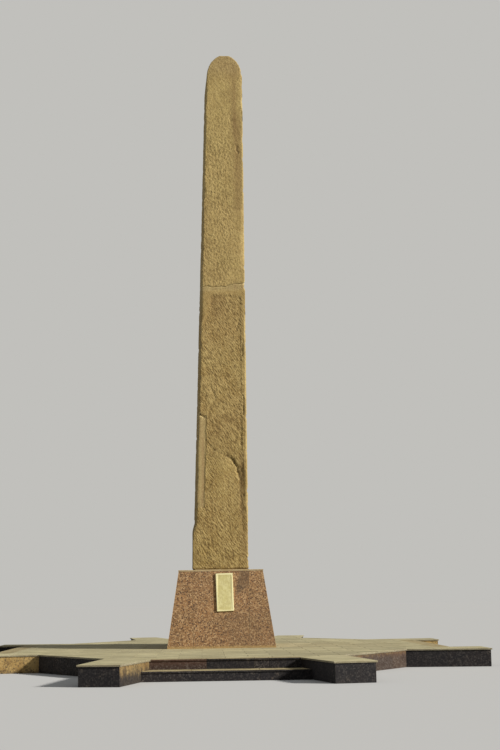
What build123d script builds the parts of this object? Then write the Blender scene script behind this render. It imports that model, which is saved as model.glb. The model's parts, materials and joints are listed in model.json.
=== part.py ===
"""A granite obelisk with a rounded head, on a battered pedestal and a stepped terrace.

Millimetres, +Z up. The origin is on the ground under the middle of the pedestal. The front,
with its stair and plaque, faces -Y, and +X is on the right of someone who faces the front.
"""

import os
from math import atan2, cos, radians, sin, sqrt

from build123d import *

# Terrace, seen from above: long arms to front and back, short wide wings to left and right
STEP_RISE = 190
TERRACE_HEIGHT = 2 * STEP_RISE
PAVING_THICKNESS = 30
NOSING = 25                     # how far paving, copings and treads stand out over the faces
ARM_REACH = 7600                # centre to the upper riser of the front and back stairs
STAIR_HALF_WIDTH = 1440         # half the stair's width at that riser
ARM_TREAD_DEPTH = 600
FLANK_THICKNESS = 300
STEP_BLOCK_DEPTH = FLANK_THICKNESS + 50     # the upper step ends behind the flank wall's face
CHEEK_SPLAY = 12                # degrees that the stair's side of each cheek wall turns outwards
CHEEK_LENGTH = 2100             # in front of the upper riser, on the stair's side
CHEEK_WIDTH = 750               # across its square front end
FLANK_START_X = 2300            # where the cheek wall ends and the flank wall sets off
FLANK_START_Y = 6750
CORNER_X = 3900                 # where the flank wall meets the wing
CORNER_Y = 3950
WING_REACH = 5680
WING_FRONT_Y = 4200             # the wing's outer corners, to front and back
STAIR_SIDE_Y = 2900             # half the width of the side stairs, between the wings
SIDE_REACH = 5000               # centre to the upper riser of the side stairs
SIDE_TREAD_DEPTH = 400
PAVING_JOINT_Y = 2000           # joint between the middle paving and that of the arms

# Pedestal: a core clad in slabs, with a thin cap
PEDESTAL_HEIGHT = 1785
PEDESTAL_TOP_WIDTH = 1955
PEDESTAL_TOP_DEPTH = 2760
PEDESTAL_BATTER_DEPTH = 270     # how far each face comes forward from top to foot
CLADDING_THICKNESS = 40
CAP_THICKNESS = 30
CAP_OVERHANG = 8
CORNER_SLAB_WIDTH = 330         # at the top of the face
SLAB_JOINT = 4

# Plaque on the front face
PLAQUE_WIDTH = 392
PLAQUE_HEIGHT = 875
PLAQUE_THICKNESS = 42
PLAQUE_SHIFT = 84               # centre of the plaque, to the right of the middle
PLAQUE_DROP = 60                # top of the face to the top of the plaque
PLAQUE_TURN = 1.6               # degrees that it hangs askew, anticlockwise
PLAQUE_BORDER = 36
PLAQUE_SINKING = 5
PLAQUE_EDGE = 6                 # chamfer round its front

# Shaft: narrow faces to front and back, broad faces to left and right
SHAFT_HEIGHT = 12700
SHAFT_BASE_WIDTH = 1265
SHAFT_BASE_DEPTH = 2050
SHAFT_HEAD_WIDTH = 890          # where the rounding starts
SHAFT_HEAD_DEPTH = 1550         # at the very top
HEAD_RISE = 590                 # height of the rounding
HEAD_FLAT = 210                 # width of the flat along its top
SHAFT_LEAN = 205                # the head stands this far to the right of the foot
SHAFT_TURN = 2                  # degrees that the shaft is turned on the pedestal, anticlockwise
BED_THICKNESS = 20
BED_INSET = 4
SOCKET_WIDTH = 160              # slot on the head, where a finial once stood
SOCKET_LENGTH = 420
SOCKET_DEPTH = 160

# The break across the shaft, made good with mortar
BREAK_HEIGHT = 6700             # foot of the shaft to the lower side of the mortar, on the front
BREAK_GAP = 95
BREAK_SLOPE = 9                 # degrees that the break climbs from front to back
MORTAR_INSET = 3
# Broken edges across the front: share of half the face's width, and rise above the height
LOWER_BREAK_LINE = ((-2, 10), (-0.7, -15), (-0.2, 12), (0.3, -8), (0.8, 25), (2, 35))
UPPER_BREAK_LINE = ((-2, 110), (-0.85, -10), (-0.55, -12), (0.1, 0), (0.5, 75), (2, 95))

# Sunk, pecked field on the narrow faces of the lower block
FIELD_DEPTH = 22
FIELD_LEFT_MARGIN = 185
FIELD_RIGHT_MARGIN = 95
FIELD_TOP_GAP = 110             # below the break
FIELD_FOOT_GAP = 60
FIELD_CORNER = 130              # radius of its upper corners
LEFT_MARGIN_FOOT = 6180         # below this the smooth left margin narrows
LEFT_MARGIN_END = 5620          # height at which it has run out
RIGHT_MARGIN_FOOT = 1500
RIGHT_MARGIN_END = 1000

# Scar under a slanting ledge, low on the right of the front
LEDGE_HEIGHT = 2860             # upper end of the ledge above the foot
# The ledge: share of half the face's width, and rise above its upper end
LEDGE_LINE = ((-0.42, 0), (0.13, -160), (0.42, -260), (0.64, -410), (0.9, -560))
LEDGE_DEEPEST = 0.7             # share of half the face's width
LEDGE_DEPTH = 58
LEDGE_FADE = 1650               # from the ledge's upper end to where the scar runs out

# Long flake gone from the right edge, above the break
EDGE_SCAR_FOOT = 7250
EDGE_SCAR_LENGTH = 1650
EDGE_SCAR_WIDTH = 110
EDGE_SCAR_DEPTH = 34

# Mortar that fills the worn front left edge, and the wear above it
REPAIR_FOOT = 1450
REPAIR_HEIGHT = 3630
REPAIR_WIDTH = 175
REPAIR_DEPTH = 220
# Share of the way from the repair up to the break, and width worn off there
WORN_EDGE = ((0, 30), (0.12, 20), (0.4, 26), (0.6, 12), (1.05, 8))

# Stone left standing on the left side, at the foot: thick at the front, nothing at the back
SWELL_THICKNESS = 68
SWELL_HEIGHT = 1150
SWELL_FADE = 330                # over this height it runs out at its top

FAR = 4 * ARM_REACH             # clears the whole terrace
CLEAR = 100                     # lets a cutting shape pass through a face


def box_between(x0, x1, y0, y1, z0, z1):
    """Box between two values on each axis."""
    centre = Pos((x0 + x1) / 2, (y0 + y1) / 2, (z0 + z1) / 2)
    return centre * Box(x1 - x0, y1 - y0, z1 - z0)


def upright(face, z0, z1):
    """A plan shape raised into a prism between two levels."""
    return extrude(Pos(0, 0, z0) * face, z1 - z0, dir=(0, 0, 1))


def along_x(view):
    """A side view, drawn in Y and Z, raised into a prism through the whole part."""
    return extrude(Plane.YZ * view, FAR, both=True)


def along_y(view):
    """A front view, drawn in X and Z, raised into a prism through the whole part."""
    return extrude(Plane.XZ * view, FAR, both=True)


def four_corners(stem, solid):
    """The front right piece and its likes at the other corners, each with its own name."""
    return {
        f"front_right_{stem}": solid,
        f"front_left_{stem}": mirror(solid, Plane.YZ),
        f"back_right_{stem}": mirror(solid, Plane.XZ),
        f"back_left_{stem}": Rot(0, 0, 180) * solid,
    }


def terrace_points():
    """Corners of the front right quarter of the terrace, anticlockwise from above."""
    splay = radians(CHEEK_SPLAY)
    outwards = Vector(sin(splay), -cos(splay))
    sideways = Vector(cos(splay), sin(splay))
    inner_back = Vector(STAIR_HALF_WIDTH, -ARM_REACH)
    inner_front = inner_back + outwards * CHEEK_LENGTH
    outer_front = inner_front + sideways * CHEEK_WIDTH
    corners = [(corner.X, corner.Y) for corner in (inner_back, inner_front, outer_front)]
    corners += [(FLANK_START_X, -FLANK_START_Y), (CORNER_X, -CORNER_Y)]
    corners += [(WING_REACH, -WING_FRONT_Y), (WING_REACH, -STAIR_SIDE_Y)]
    corners += [(SIDE_REACH, -STAIR_SIDE_Y)]
    return corners


def terrace_plan(growth=0):
    """The whole outline of the terrace, with every side moved outwards by the growth."""
    quarter = terrace_points()
    outline = list(quarter)
    outline += [(x, -y) for x, y in reversed(quarter)]
    outline += [(-x, -y) for x, y in quarter]
    outline += [(-x, y) for x, y in reversed(quarter)]
    corners = [Vector(x, y) for x, y in outline]
    moved = []
    for place, corner in enumerate(corners):
        into = (corner - corners[place - 1]).normalized()
        out = (corners[(place + 1) % len(corners)] - corner).normalized()
        # Moving both sides by the growth moves their corner along the line that halves it
        turn = into.X * out.Y - into.Y * out.X
        shift = (into - out) * (growth / turn)
        moved.append((corner.X + shift.X, corner.Y + shift.Y))
    return Polygon(*moved, align=None)


def lower_step(reach, tread_depth, bay):
    """Lower step of a stair to the front, cut to the bay between its walls."""
    riser_y = -(reach + tread_depth)
    lip_z = STEP_RISE - PAVING_THICKNESS
    profile = Polygon(
        (-reach, 0), (riser_y, 0), (riser_y, lip_z), (riser_y - NOSING, lip_z),
        (riser_y - NOSING, STEP_RISE), (-reach, STEP_RISE), align=None,
    )
    return along_x(profile) & upright(bay, 0, STEP_RISE)


def terrace():
    """Core, walls, copings, steps and paving of the terrace."""
    under_paving = TERRACE_HEIGHT - PAVING_THICKNESS
    masonry = upright(terrace_plan(), 0, under_paving)
    sheet = upright(terrace_plan(NOSING), under_paving, TERRACE_HEIGHT)
    inside = upright(terrace_plan(-FLANK_THICKNESS), 0, under_paving)
    splay = radians(CHEEK_SPLAY)
    tread_half = STAIR_HALF_WIDTH - NOSING / cos(splay)
    side_tread_half = STAIR_SIDE_Y - NOSING

    def layers(x0, x1, y0, y1):
        return box_between(x0, x1, y0, y1, 0, TERRACE_HEIGHT)

    step_back = ARM_REACH - STEP_BLOCK_DEPTH
    cheek_zone = layers(STAIR_HALF_WIDTH, FAR, -FAR, -step_back)
    cheek_top_zone = layers(tread_half, FAR, -FAR, -step_back)
    wing_zone = layers(CORNER_X, FAR, -FAR, -STAIR_SIDE_Y)
    wing_top_zone = layers(CORNER_X, FAR, -FAR, -side_tread_half)
    flank_zone = layers(0, CORNER_X, -step_back, -CORNER_Y)
    nodes = four_corners("cheek_wall", masonry & cheek_zone)
    nodes |= four_corners("cheek_coping", sheet & cheek_top_zone)
    nodes |= four_corners("wing_wall", masonry & wing_zone)
    nodes |= four_corners("wing_coping", sheet & wing_top_zone)
    nodes |= four_corners("flank_wall", (masonry & flank_zone) - inside)

    # Each upper step is one block: a riser under a tread that stands out over it
    riser = box_between(
        -STAIR_HALF_WIDTH, STAIR_HALF_WIDTH, -ARM_REACH, -step_back, STEP_RISE, under_paving
    )
    tread = sheet & layers(-tread_half, tread_half, -FAR, -step_back)
    front_upper = riser + tread
    side_back = SIDE_REACH - STEP_BLOCK_DEPTH
    side_riser = box_between(
        side_back, SIDE_REACH, -STAIR_SIDE_Y, STAIR_SIDE_Y, STEP_RISE, under_paving
    )
    side_tread = sheet & layers(side_back, FAR, -side_tread_half, side_tread_half)
    right_upper = side_riser + side_tread
    nodes["front_upper_step"] = front_upper
    nodes["back_upper_step"] = mirror(front_upper, Plane.XZ)
    nodes["right_upper_step"] = right_upper
    nodes["left_upper_step"] = mirror(right_upper, Plane.YZ)

    inner_back, inner_front = terrace_points()[:2]
    arm_bay = Polygon(
        inner_back, (-inner_back[0], inner_back[1]), (-inner_front[0], inner_front[1]),
        inner_front, align=None,
    )
    front_lower = lower_step(ARM_REACH, ARM_TREAD_DEPTH, arm_bay)
    side_bay = Pos(0, -(SIDE_REACH + FAR / 2)) * Rectangle(2 * STAIR_SIDE_Y, FAR)
    right_lower = Rot(0, 0, 90) * lower_step(SIDE_REACH, SIDE_TREAD_DEPTH, side_bay)
    nodes["front_lower_step"] = front_lower
    nodes["back_lower_step"] = mirror(front_lower, Plane.XZ)
    nodes["right_lower_step"] = right_lower
    nodes["left_lower_step"] = mirror(right_lower, Plane.YZ)

    # What is left over is the core, and above it the paving in four parts
    core = masonry
    paving = sheet
    for solid in nodes.values():
        core -= solid
        paving -= solid
    nodes["terrace_core"] = core
    nodes["front_paving"] = paving & layers(-FAR, FAR, -FAR, -PAVING_JOINT_Y)
    nodes["back_paving"] = paving & layers(-FAR, FAR, PAVING_JOINT_Y, FAR)
    nodes["left_paving"] = paving & layers(-FAR, 0, -PAVING_JOINT_Y, PAVING_JOINT_Y)
    nodes["right_paving"] = paving & layers(0, FAR, -PAVING_JOINT_Y, PAVING_JOINT_Y)
    return nodes


def tapered_block(width, depth, spread, z0, z1):
    """Block of this size at its top, with four faces that come forward by spread at its foot."""
    front_view = Polygon(
        (-width / 2 - spread, z0), (width / 2 + spread, z0), (width / 2, z1), (-width / 2, z1),
        align=None,
    )
    side_view = Polygon(
        (-depth / 2 - spread, z0), (depth / 2 + spread, z0), (depth / 2, z1), (-depth / 2, z1),
        align=None,
    )
    return along_y(front_view) & along_x(side_view)


def sloping_face(half_depth, spread, height, x=0, z=0):
    """Plane on a front face that leans back by spread over a height."""
    slope = atan2(spread, height)
    return Plane(
        origin=(x, -half_depth, z), x_dir=(1, 0, 0), z_dir=(0, -cos(slope), sin(slope))
    )


def cladding(foot_z, top_z):
    """Slabs on the front and on the right of the pedestal, and the core behind them."""
    backing = 2 * CLADDING_THICKNESS
    body = tapered_block(PEDESTAL_TOP_WIDTH, PEDESTAL_TOP_DEPTH, PEDESTAL_BATTER_DEPTH, foot_z, top_z)
    core = tapered_block(
        PEDESTAL_TOP_WIDTH - backing, PEDESTAL_TOP_DEPTH - backing, PEDESTAL_BATTER_DEPTH, foot_z, top_z
    )
    shell = body - core

    # The slabs meet at the corners on upright planes at 45 degrees
    half_width = PEDESTAL_TOP_WIDTH / 2
    half_depth = PEDESTAL_TOP_DEPTH / 2
    outside = PEDESTAL_BATTER_DEPTH + CLEAR
    inside = half_width / 2
    front_zone = Polygon(
        (-half_width - outside, -half_depth - outside),
        (half_width + outside, -half_depth - outside),
        (half_width - inside, -half_depth + inside),
        (-half_width + inside, -half_depth + inside), align=None,
    )
    side_zone = Polygon(
        (half_width + outside, -half_depth - outside), (half_width + outside, half_depth + outside),
        (half_width - inside, half_depth - inside), (half_width - inside, -half_depth + inside),
        align=None,
    )
    front = shell & upright(front_zone, foot_z, top_z)
    side = shell & upright(side_zone, foot_z, top_z)
    joint_half = SLAB_JOINT / 2
    for sign in (-1, 1):
        at_x = sign * (half_width - CORNER_SLAB_WIDTH)
        at_y = sign * (half_depth - CORNER_SLAB_WIDTH)
        front -= box_between(at_x - joint_half, at_x + joint_half, -FAR, FAR, 0, top_z)
        side -= box_between(-FAR, FAR, at_y - joint_half, at_y + joint_half, 0, top_z)
    return core, front, side


def plaque(top_z):
    """Bare slab with a raised border, on the sloping front face of the pedestal."""
    outline = extrude(Rectangle(PLAQUE_WIDTH, PLAQUE_HEIGHT), PLAQUE_THICKNESS)
    slab = chamfer(outline.edges().group_by(Axis.Z)[-1], PLAQUE_EDGE)
    field = Rectangle(PLAQUE_WIDTH - 2 * PLAQUE_BORDER, PLAQUE_HEIGHT - 2 * PLAQUE_BORDER)
    slab -= extrude(Pos(0, 0, PLAQUE_THICKNESS - PLAQUE_SINKING) * field, PLAQUE_SINKING)
    height = PEDESTAL_HEIGHT - CAP_THICKNESS
    face = sloping_face(PEDESTAL_TOP_DEPTH / 2, PEDESTAL_BATTER_DEPTH, height, PLAQUE_SHIFT, top_z)
    return face * Pos(0, -PLAQUE_DROP - PLAQUE_HEIGHT / 2) * Rot(0, 0, PLAQUE_TURN) * slab


def pedestal():
    """Core, cladding slabs and cap of the pedestal, and the plaque on its front."""
    foot_z = TERRACE_HEIGHT
    top_z = foot_z + PEDESTAL_HEIGHT - CAP_THICKNESS
    core, front, side = cladding(foot_z, top_z)
    cap_half_width = PEDESTAL_TOP_WIDTH / 2 + CAP_OVERHANG
    cap_half_depth = PEDESTAL_TOP_DEPTH / 2 + CAP_OVERHANG
    cap = box_between(
        -cap_half_width, cap_half_width, -cap_half_depth, cap_half_depth,
        top_z, top_z + CAP_THICKNESS,
    )
    return {
        "pedestal_core": core,
        "pedestal_front_cladding": front,
        "pedestal_back_cladding": mirror(front, Plane.XZ),
        "pedestal_right_cladding": side,
        "pedestal_left_cladding": mirror(side, Plane.YZ),
        "pedestal_cap": cap,
        "front_plaque": plaque(top_z),
    }


def side_profile(inset=0):
    """The shaft seen from the side, each sloping face set in."""
    foot_y = SHAFT_BASE_DEPTH / 2 - inset
    head_y = SHAFT_HEAD_DEPTH / 2 - inset
    return along_x(Polygon(
        (-foot_y, 0), (foot_y, 0), (head_y, SHAFT_HEIGHT), (-head_y, SHAFT_HEIGHT), align=None
    ))


def shaft_body(inset=0):
    """The whole shaft, foot at z = 0, each face set in: the overlap of two profiles."""
    half_foot = SHAFT_BASE_WIDTH / 2 - inset
    half_head = SHAFT_HEAD_WIDTH / 2 - inset
    spring_z = SHAFT_HEIGHT - HEAD_RISE
    # The rounding is the part of an ellipse below the flat
    full_rise = HEAD_RISE / sqrt(1 - (HEAD_FLAT / SHAFT_HEAD_WIDTH) ** 2)
    rounding = EllipticalCenterArc(
        (SHAFT_LEAN, spring_z), half_head, full_rise, start_angle=0, arc_size=180
    )
    sides = Polyline(
        (SHAFT_LEAN - half_head, spring_z), (-half_foot, 0), (half_foot, 0),
        (SHAFT_LEAN + half_head, spring_z),
    )
    return along_y(make_face([rounding, sides])) & side_profile(inset)


def edges_at(z):
    """Left and right edge of the narrow face, and how far forward it stands, at a height."""
    share = z / (SHAFT_HEIGHT - HEAD_RISE)
    half = (SHAFT_BASE_WIDTH + (SHAFT_HEAD_WIDTH - SHAFT_BASE_WIDTH) * share) / 2
    middle = SHAFT_LEAN * share
    taper = (SHAFT_BASE_DEPTH - SHAFT_HEAD_DEPTH) * z / SHAFT_HEIGHT
    return middle - half, middle + half, (SHAFT_BASE_DEPTH - taper) / 2


def below_break(height, line):
    """Everything under a broken surface that starts at a height on the front face.

    The line gives the broken edge across that face. From there the surface climbs to the back.
    """
    left, right, forward = edges_at(height)
    middle = (left + right) / 2
    half = (right - left) / 2
    edge = [(middle + share * half, height + rise) for share, rise in line]
    below = [(edge[-1][0], -SHAFT_HEIGHT), (edge[0][0], -SHAFT_HEIGHT)]
    profile = Plane.XZ * Polygon(*edge, *below, align=None)
    slope = radians(BREAK_SLOPE)
    climb = Vector(0, cos(slope), sin(slope))
    return extrude(Pos(0, -forward, 0) * profile, FAR, dir=climb, both=True)


def front_face():
    """Plane on the shaft's front: X across, Y up and Z out of the stone, from the foot."""
    spread = (SHAFT_BASE_DEPTH - SHAFT_HEAD_DEPTH) / 2
    return sloping_face(SHAFT_BASE_DEPTH / 2, spread, SHAFT_HEIGHT)


def sunk_field():
    """Cutter for the pecked field on the front. It is open to both edges near the foot."""
    head_z = BREAK_HEIGHT - FIELD_TOP_GAP
    left_margins = (
        (FIELD_FOOT_GAP, -CLEAR), (LEFT_MARGIN_END, -CLEAR),
        (LEFT_MARGIN_FOOT, FIELD_LEFT_MARGIN), (head_z, FIELD_LEFT_MARGIN),
    )
    right_margins = (
        (head_z, FIELD_RIGHT_MARGIN), (RIGHT_MARGIN_FOOT, FIELD_RIGHT_MARGIN),
        (RIGHT_MARGIN_END, -CLEAR), (FIELD_FOOT_GAP, -CLEAR),
    )
    outline = []
    for z, margin in left_margins:
        left, _, _ = edges_at(z)
        outline.append((left + margin, z))
    for z, margin in right_margins:
        _, right, _ = edges_at(z)
        outline.append((right - margin, z))
    panel = Polygon(*outline, align=None)
    panel = fillet(panel.vertices().group_by(Axis.Y)[-1], FIELD_CORNER)
    cutter = extrude(Pos(0, 0, -FIELD_DEPTH) * panel, FIELD_DEPTH + CLEAR, dir=(0, 0, 1))
    return front_face() * cutter


def scar(outline, section, fading):
    """Cutter for a scar: its outline on the front, its section across, and its section down."""
    outlined = extrude(Polygon(*outline, align=None), FAR, both=True)
    across = along_y(Polygon(*section, align=None))
    down = along_x(Polygon(*fading, align=None))
    return front_face() * (outlined & across & down)


def ledge_scar():
    """The big flake gone from the lower right of the front, under a slanting ledge."""
    left, right, _ = edges_at(LEDGE_HEIGHT)
    middle = (left + right) / 2
    half = (right - left) / 2
    foot_z = LEDGE_HEIGHT - LEDGE_FADE
    ledge = [(middle + share * half, LEDGE_HEIGHT + rise) for share, rise in LEDGE_LINE]
    start_x = ledge[0][0]
    end_x = ledge[-1][0]
    outline = [*ledge, (end_x, foot_z), (start_x, foot_z)]
    section = [
        (start_x, 0), (middle + LEDGE_DEEPEST * half, -LEDGE_DEPTH), (end_x, 0),
        (end_x, CLEAR), (start_x, CLEAR),
    ]
    fading = [
        (LEDGE_HEIGHT, -LEDGE_DEPTH), (foot_z, 0), (foot_z, CLEAR), (LEDGE_HEIGHT, CLEAR),
    ]
    return scar(outline, section, fading)


def edge_scar():
    """A long shallow flake gone from the right edge of the upper block."""
    top_z = EDGE_SCAR_FOOT + EDGE_SCAR_LENGTH
    _, right, _ = edges_at(EDGE_SCAR_FOOT)
    _, top_right, _ = edges_at(top_z)
    outline = [
        (right - EDGE_SCAR_WIDTH, EDGE_SCAR_FOOT), (right + CLEAR, EDGE_SCAR_FOOT),
        (right + CLEAR, top_z), (top_right - EDGE_SCAR_WIDTH / 2, top_z),
    ]
    section = [
        (top_right - EDGE_SCAR_WIDTH, 0), (right, -EDGE_SCAR_DEPTH),
        (right + CLEAR, -EDGE_SCAR_DEPTH), (right + CLEAR, CLEAR),
        (top_right - EDGE_SCAR_WIDTH, CLEAR),
    ]
    fading = [
        (EDGE_SCAR_FOOT, -CLEAR), (top_z, -CLEAR), (top_z, CLEAR), (EDGE_SCAR_FOOT, CLEAR),
    ]
    return scar(outline, section, fading)


def worn_edge():
    """Cutter along the front left edge, from the repair to the break, widest at the repair."""
    sections = []
    for share, wear in WORN_EDGE:
        z = REPAIR_HEIGHT + share * (BREAK_HEIGHT - REPAIR_HEIGHT)
        left, _, forward = edges_at(z)
        in_field = forward - FIELD_DEPTH
        corner = Polygon(
            (left - CLEAR, -in_field - CLEAR), (left + wear + CLEAR, -in_field - CLEAR),
            (left - CLEAR, wear + CLEAR - in_field), align=None,
        )
        sections.append(Pos(0, 0, z) * corner)
    return loft(sections, ruled=True)


def foot_swell():
    """Stone that stands out on the left side at the foot, and narrows to nothing at the back."""
    shoulder_z = SWELL_HEIGHT - SWELL_FADE
    left, _, forward = edges_at(0)
    shoulder_left, _, _ = edges_at(shoulder_z)
    top_left, _, _ = edges_at(SWELL_HEIGHT)
    front_view = Polygon(
        (left + CLEAR, 0), (left - SWELL_THICKNESS, 0),
        (shoulder_left - SWELL_THICKNESS, shoulder_z), (top_left, SWELL_HEIGHT),
        (top_left + CLEAR, SWELL_HEIGHT), align=None,
    )
    plan = Polygon(
        (left - SWELL_THICKNESS, -forward), (0, -forward), (0, forward), (left, forward),
        align=None,
    )
    return along_y(front_view) & upright(plan, 0, SWELL_HEIGHT) & side_profile()


def shaft():
    """The two blocks of the shaft, the mortar between them, the edge repair and the bed."""
    whole = shaft_body() + foot_swell()
    under_mortar = below_break(BREAK_HEIGHT, LOWER_BREAK_LINE)
    under_upper = below_break(BREAK_HEIGHT + BREAK_GAP, UPPER_BREAK_LINE)
    lower = whole & under_mortar
    upper = whole - under_upper - edge_scar()

    # The mortar is struck back a little from the faces of the two blocks
    mortar = (shaft_body(MORTAR_INSET) & under_upper) - under_mortar

    foot_left, _, foot_forward = edges_at(REPAIR_FOOT)
    head_left, _, _ = edges_at(REPAIR_HEIGHT)
    strip = Polygon(
        (foot_left - CLEAR, REPAIR_FOOT), (foot_left + REPAIR_WIDTH, REPAIR_FOOT),
        (head_left + REPAIR_WIDTH, REPAIR_HEIGHT), (head_left - CLEAR, REPAIR_HEIGHT), align=None,
    )
    front_zone = box_between(
        -FAR, FAR, -FAR, REPAIR_DEPTH - foot_forward, REPAIR_FOOT, REPAIR_HEIGHT
    )
    strip_zone = along_y(strip) & front_zone
    repair = lower & strip_zone
    front_field = sunk_field()
    lower = lower - strip_zone - front_field - mirror(front_field, Plane.XZ)
    lower = lower - ledge_scar() - worn_edge()

    socket = box_between(
        SHAFT_LEAN - SOCKET_WIDTH / 2, SHAFT_LEAN + SOCKET_WIDTH / 2,
        -SOCKET_LENGTH / 2, SOCKET_LENGTH / 2, SHAFT_HEIGHT - SOCKET_DEPTH, SHAFT_HEIGHT + CLEAR,
    )
    bed_half_width = SHAFT_BASE_WIDTH / 2 - BED_INSET
    bed_half_depth = SHAFT_BASE_DEPTH / 2 - BED_INSET
    bed = box_between(
        -bed_half_width, bed_half_width, -bed_half_depth, bed_half_depth, -BED_THICKNESS, 0
    )
    pieces = {
        "shaft_bed": bed,
        "shaft_lower_block": lower,
        "shaft_upper_block": upper - socket,
        "shaft_break_mortar": mortar,
        "shaft_edge_repair": repair,
    }
    place = Pos(0, 0, TERRACE_HEIGHT + PEDESTAL_HEIGHT + BED_THICKNESS) * Rot(0, 0, SHAFT_TURN)
    return {name: place * solid for name, solid in pieces.items()}


os.makedirs("parts", exist_ok=True)
nodes = terrace() | pedestal() | shaft()
for name, solid in nodes.items():
    solid.label = name
    export_step(solid, f"parts/{name}.step")
    print(f"{name:26s} {len(solid.solids())} solids, {solid.volume / 1e9:8.3f} m3")
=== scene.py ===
# %% [markdown]
# # A granite obelisk on its pedestal and terrace
# The real thing is one tall granite shaft, broken across and mended with mortar. It stands on a
# pedestal clad in speckled slabs, and that on a low terrace with paving and dark stone walls.
# The CAD part gives every solid its size and place. This notebook gives it the looks of stone:
# worn arrises, a pecked and weathered surface, joints between slabs, and grain in each material.

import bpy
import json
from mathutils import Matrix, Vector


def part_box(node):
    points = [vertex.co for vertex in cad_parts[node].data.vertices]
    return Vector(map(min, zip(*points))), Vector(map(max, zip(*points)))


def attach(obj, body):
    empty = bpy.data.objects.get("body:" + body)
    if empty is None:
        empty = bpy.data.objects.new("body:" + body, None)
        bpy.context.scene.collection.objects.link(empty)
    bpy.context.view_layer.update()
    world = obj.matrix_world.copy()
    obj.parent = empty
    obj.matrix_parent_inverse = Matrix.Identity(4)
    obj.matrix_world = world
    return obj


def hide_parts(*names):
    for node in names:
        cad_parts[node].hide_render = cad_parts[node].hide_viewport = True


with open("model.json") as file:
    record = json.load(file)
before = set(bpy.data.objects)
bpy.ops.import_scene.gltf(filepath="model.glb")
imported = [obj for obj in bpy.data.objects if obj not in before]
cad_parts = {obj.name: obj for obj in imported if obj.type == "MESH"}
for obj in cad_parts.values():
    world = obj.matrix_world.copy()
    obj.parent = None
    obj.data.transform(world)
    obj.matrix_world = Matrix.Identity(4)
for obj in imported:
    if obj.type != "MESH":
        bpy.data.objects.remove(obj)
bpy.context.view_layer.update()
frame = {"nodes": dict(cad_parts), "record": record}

# %% [markdown]
# Noise from mathutils gives the same value at the same point in every run, so the stone looks
# the same each time.

# %% Modules
import json
import random
from math import cos, pi, radians, sin

import bmesh
import bpy
from mathutils import Matrix, Vector, noise
from mathutils.bvhtree import BVHTree

scene = bpy.context.scene
EAST, NORTH, UP = Vector((1, 0, 0)), Vector((0, 1, 0)), Vector((0, 0, 1))
print("Blender", bpy.app.version_string)

# %% [markdown]
# ## Small helpers for nodes
# A material is a net of nodes. Each has to be made, given its values and linked. One helper does
# all three, so that a material reads like a recipe. Colours are written as they look on a
# screen, 0 to 255, and turned into Blender's linear values.

# %% Node helpers
def colour(red, green, blue):
    """A screen colour as Blender's linear colour."""
    shares = [level / 255 for level in (red, green, blue)]
    return [s / 12.92 if s <= 0.04045 else ((s + 0.055) / 1.055) ** 2.4 for s in shares] + [1]


def feed(tree, value, socket):
    """Links a socket to another node's output, or sets its value."""
    if isinstance(value, bpy.types.NodeSocket):
        tree.links.new(value, socket)
    else:
        socket.default_value = value


def node(tree, kind, settings=(), **inputs):
    """Adds a node with its settings and inputs."""
    made = tree.nodes.new("ShaderNode" + kind)
    for name, value in dict(settings).items():
        setattr(made, name, value)
    for name, value in inputs.items():
        feed(tree, value, made.inputs[name.replace("_", " ")])
    return made


def calc(tree, operation, *values, kind="Math"):
    """A Math or VectorMath node with its operation and values."""
    made = node(tree, kind, {"operation": operation})
    for value, socket in zip(values, made.inputs):
        feed(tree, value, socket)
    return made.outputs[0]


def times(tree, product, *others):
    """Values multiplied."""
    for other in others:
        product = calc(tree, "MULTIPLY", product, other)
    return product


def fade(tree, value, start, end, low=0.0, high=1.0):
    """A value that turns smoothly from low to high between start and end."""
    made = node(
        tree, "MapRange", {"interpolation_type": "SMOOTHSTEP"},
        Value=value, From_Min=start, From_Max=end, To_Min=low, To_Max=high,
    )
    return made.outputs[0]


print("helpers ready")

# %% [markdown]
# Nearly every stone needs noise, the parts of a vector, how far a face looks up, and colours that
# are mixed or laid over each other. A tint covers what is below by its mask times its strength.

# %% Helpers for stone
def speckle(tree, place, scale, detail, roughness=0.5):
    """Noise from 0 to 1."""
    made = node(tree, "TexNoise", Vector=place, Scale=scale, Detail=detail, Roughness=roughness)
    return made.outputs["Fac"]


def split(tree, vector):
    """A vector's X, Y and Z."""
    return node(tree, "SeparateXYZ", Vector=vector).outputs


def upward(tree):
    """How far a face looks up, from -1 to 1."""
    return split(tree, node(tree, "NewGeometry").outputs["Normal"])["Z"]


def mixed(tree, share, first, second):
    """Two colours mixed, each a socket or a screen colour. A share of 0 gives the first."""
    made = node(tree, "Mix", {"data_type": "RGBA"})
    feed(tree, share, made.inputs[0])
    for value, place in ((first, 6), (second, 7)):
        feed(tree, colour(*value) if isinstance(value, tuple) else value, made.inputs[place])
    return made.outputs[2]


def layered(tree, tone, *layers):
    """Tints laid over a tone, each with its mask and its strength."""
    for mask, strength, tint in layers:
        tone = mixed(tree, times(tree, mask, strength), tone, tint)
    return tone


print("stone helpers ready")

# %% [markdown]
# ## Shared effects
# Granite, mortar and marble differ in colour but are grained, stained and worn alike. Each effect
# is built once as a node group, and each material sets its own values on it. A group gives out
# masks only. The shader stays in the material.

# %% Start of a node group
def effect(name, inputs, outputs):
    """A new node group that reads a place, with the sockets of its input and output."""
    tree = bpy.data.node_groups.new(name, "ShaderNodeTree")
    tree.interface.new_socket("Vector", in_out="INPUT", socket_type="NodeSocketVector")
    for label, value in inputs.items():
        socket = tree.interface.new_socket(label, in_out="INPUT", socket_type="NodeSocketFloat")
        socket.default_value = value
    for label in outputs:
        tree.interface.new_socket(label, in_out="OUTPUT", socket_type="NodeSocketFloat")
    entry = tree.nodes.new("NodeGroupInput").outputs
    leave = tree.nodes.new("NodeGroupOutput").inputs
    print("made the group", name)
    return tree, entry, leave


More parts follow.
